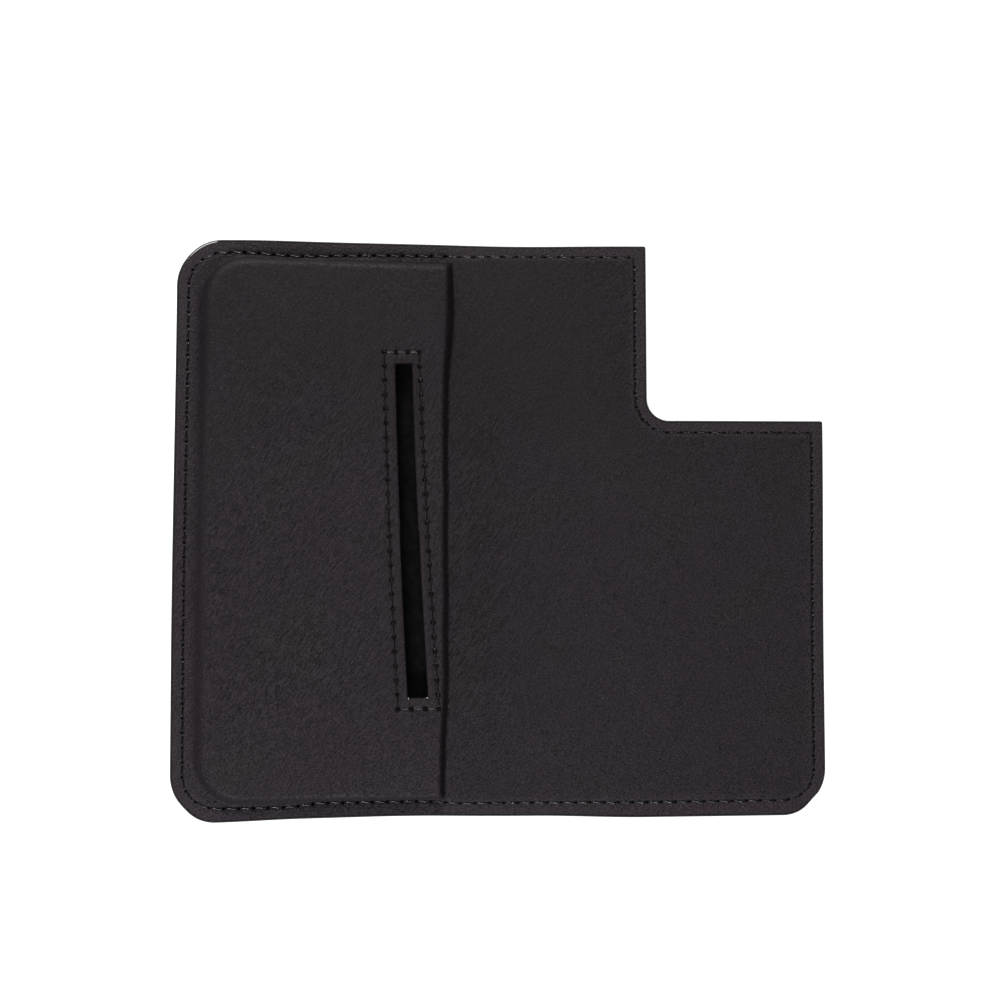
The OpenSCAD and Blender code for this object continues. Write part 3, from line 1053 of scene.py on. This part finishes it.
lining_cover = layer(
    "lining_cover_half", [cover_loop, slit_loop],
    (cover_top_points(), cover_plain_points(hole=True, fine=False)),
    (lining_top, lining_bottom), LINING_SIDES, cover_lining_seam_shade, lip=PAINTED_LIP,
)
outer_cover = layer(
    "outer_cover_half", [cover_loop],
    (cover_plain_points(hole=False, fine=False), cover_plain_points(hole=False, fine=True)),
    (outer_top, outer_bottom), OUTER_SIDES, edge_seam_shade,
)
lining_back = layer(
    "lining_back_half", [back_loop], (back_points(fine=True), back_points(fine=False)),
    (lining_top, lining_bottom), LINING_SIDES, edge_seam_shade,
)
outer_back = layer(
    "outer_back_half", [back_loop], (back_points(fine=False), back_points(fine=True)),
    (outer_top, outer_bottom), OUTER_SIDES, edge_seam_shade,
)

facing_loop = slit_ring(*FACING_HALF, 1.2)
facing_inner = np.concatenate([
    slit_ring(FACING_HALF[0] - i, FACING_HALF[1] - i, 1.2) for i in (0.8, 1.6, 2.6, 3.4)
])
facing = layer(
    "slit_facing_leather", [facing_loop, slit_loop], (facing_inner, facing_inner),
    (facing_top, facing_bottom), [FLESH, FLESH, FLESH], no_seam_shade, paint_width=0.0,
)

EDGE_STITCH = dict(radius=0.24, sink=0.30, slant=0.36, arch=0.15, dive=0.75, reach=0.34)
SLIT_STITCH = dict(radius=0.16, sink=0.19, slant=0.10, arch=0.06, dive=1.6, reach=0.24)
BOTH_FACES = ((bare_lining_top, 1), (bare_outer_bottom, -1))
SLIT_FACES = ((bare_lining_top, 1), (facing_bottom, -1))
cover_thread = thread("edge_stitches_cover_half", COVER_HOLES, BOTH_FACES, EDGE_STITCH, THREAD)
back_thread = thread("edge_stitches_back_half", BACK_HOLES, BOTH_FACES, EDGE_STITCH, THREAD)
slit_stitches = thread("slit_stitches", SLIT_HOLES, SLIT_FACES, SLIT_STITCH, THREAD)

magnet_metal = metal_material("plated_magnet", (0.56, 0.55, 0.52), 900)
steel_metal = metal_material("rolled_steel", (0.42, 0.42, 0.43), 1400)
METALS = {"magnet_ring": magnet_metal, "alignment_magnet": magnet_metal, "shunt_ring": steel_metal}
for node, metal in METALS.items():
    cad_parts[node].data.materials.clear()
    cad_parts[node].data.materials.append(metal)

# ---- What moves with what ----


for piece in (lining_cover, outer_cover, cover_thread):
    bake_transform(piece)
for piece in (lining_back, outer_back, back_thread):
    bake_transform(piece)
for piece in (facing, slit_stitches):
    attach(piece, "front_cover")

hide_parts("lining_front", "lining_fold_front", "lining_spine")
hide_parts("outer_front", "outer_fold_front", "outer_spine")
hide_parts("lining_back", "lining_fold_back", "lining_spine")
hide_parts("outer_back", "outer_fold_back", "outer_spine")
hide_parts("edge_thread_front", "edge_thread_spine")
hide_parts("edge_thread_back", "edge_thread_spine")
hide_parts("slit_thread")
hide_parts("slit_facing")

# ---- Floor, light and camera ----

def floor_material():
    """A pale floor, which is white to the camera and lends the case little light."""
    material, nodes, links, shader = new_material("pale_floor")
    shader.inputs["Base Color"].default_value = (0.93, 0.93, 0.93, 1)
    shader.inputs["Roughness"].default_value = 0.9
    shader.inputs["Specular IOR Level"].default_value = 0.1
    shader.inputs["Emission Color"].default_value = (1, 1, 1, 1)
    shader.inputs["Emission Strength"].default_value = 0.75
    dim = nodes.new("ShaderNodeBsdfDiffuse")
    dim.inputs["Color"].default_value = (0.30, 0.30, 0.30, 1)
    either = nodes.new("ShaderNodeMixShader")
    links.new(nodes.new("ShaderNodeLightPath").outputs["Is Camera Ray"], either.inputs["Fac"])
    links.new(dim.outputs[0], either.inputs[1])
    links.new(shader.outputs[0], either.inputs[2])
    links.new(either.outputs[0], nodes["Material Output"].inputs["Surface"])
    return material


bpy.ops.mesh.primitive_plane_add(size=60, location=(0, 0, -0.1 * MM))
floor = bpy.context.object
floor.name = "floor"
floor.data.materials.append(floor_material())


def softbox(name, place, aim, size, watts, colour):
    """A rectangular area light, placed and aimed in millimetres."""
    data = bpy.data.lights.new(name, "AREA")
    data.shape = "RECTANGLE"
    data.size, data.size_y = size[0] * MM, size[1] * MM
    data.energy = watts
    data.color = colour
    light = bpy.data.objects.new(name, data)
    bpy.context.scene.collection.objects.link(light)
    light.location = Vector(place) * MM
    light.rotation_euler = (Vector(aim) - Vector(place)).to_track_quat("-Z", "Y").to_euler()
    return light


softbox("key", (-200, 1300, 950), (0, 0, 0), (700, 500), 17.0, (0.99, 0.97, 0.90))
softbox("fill", (-200, -1250, 1000), (0, 0, 0), (700, 500), 20.0, (0.95, 0.94, 1.0))
softbox("low_strip", (-670, 1000, 210), (0, 0, 0), (740, 120), 1.7, (1.0, 1.0, 1.0))


def studio_world():
    """A weak even light all round. The camera sees it as a wall as pale as the far floor."""
    world = bpy.data.worlds.new("studio")
    world.use_nodes = True
    nodes, links = world.node_tree.nodes, world.node_tree.links
    light = nodes["Background"]
    light.inputs["Color"].default_value = (1, 1, 1, 1)
    light.inputs["Strength"].default_value = 0.05
    wall = nodes.new("ShaderNodeBackground")
    wall.inputs["Color"].default_value = (1, 1, 1, 1)
    wall.inputs["Strength"].default_value = 0.8
    either = nodes.new("ShaderNodeMixShader")
    links.new(nodes.new("ShaderNodeLightPath").outputs["Is Camera Ray"], either.inputs["Fac"])
    links.new(light.outputs[0], either.inputs[1])
    links.new(wall.outputs[0], either.inputs[2])
    links.new(either.outputs[0], nodes["World Output"].inputs["Surface"])
    return world


bpy.context.scene.world = studio_world()
bpy.context.scene.view_settings.view_transform = "Standard"

CAMERA_AT = Vector((-23.05, -10.58, 373.97)) * MM
CAMERA_AIM = Vector((-0.65, 7.56, 0.0)) * MM
CAMERA_ROLL = -0.003

camera_data = bpy.data.cameras.new("camera")
camera_data.lens = 50.0
camera_data.sensor_width = 36.0
camera_data.clip_start = 0.01
camera = bpy.data.objects.new("camera", camera_data)
bpy.context.scene.collection.objects.link(camera)
forward = (CAMERA_AIM - CAMERA_AT).normalized()
level = forward.cross(Vector((0, 1, 0))).normalized()
right = Quaternion(forward, -CAMERA_ROLL) @ level
turn = Matrix((right, right.cross(forward), -forward)).transposed()
camera.matrix_world = Matrix.Translation(CAMERA_AT) @ turn.to_4x4()
bpy.context.scene.camera = camera
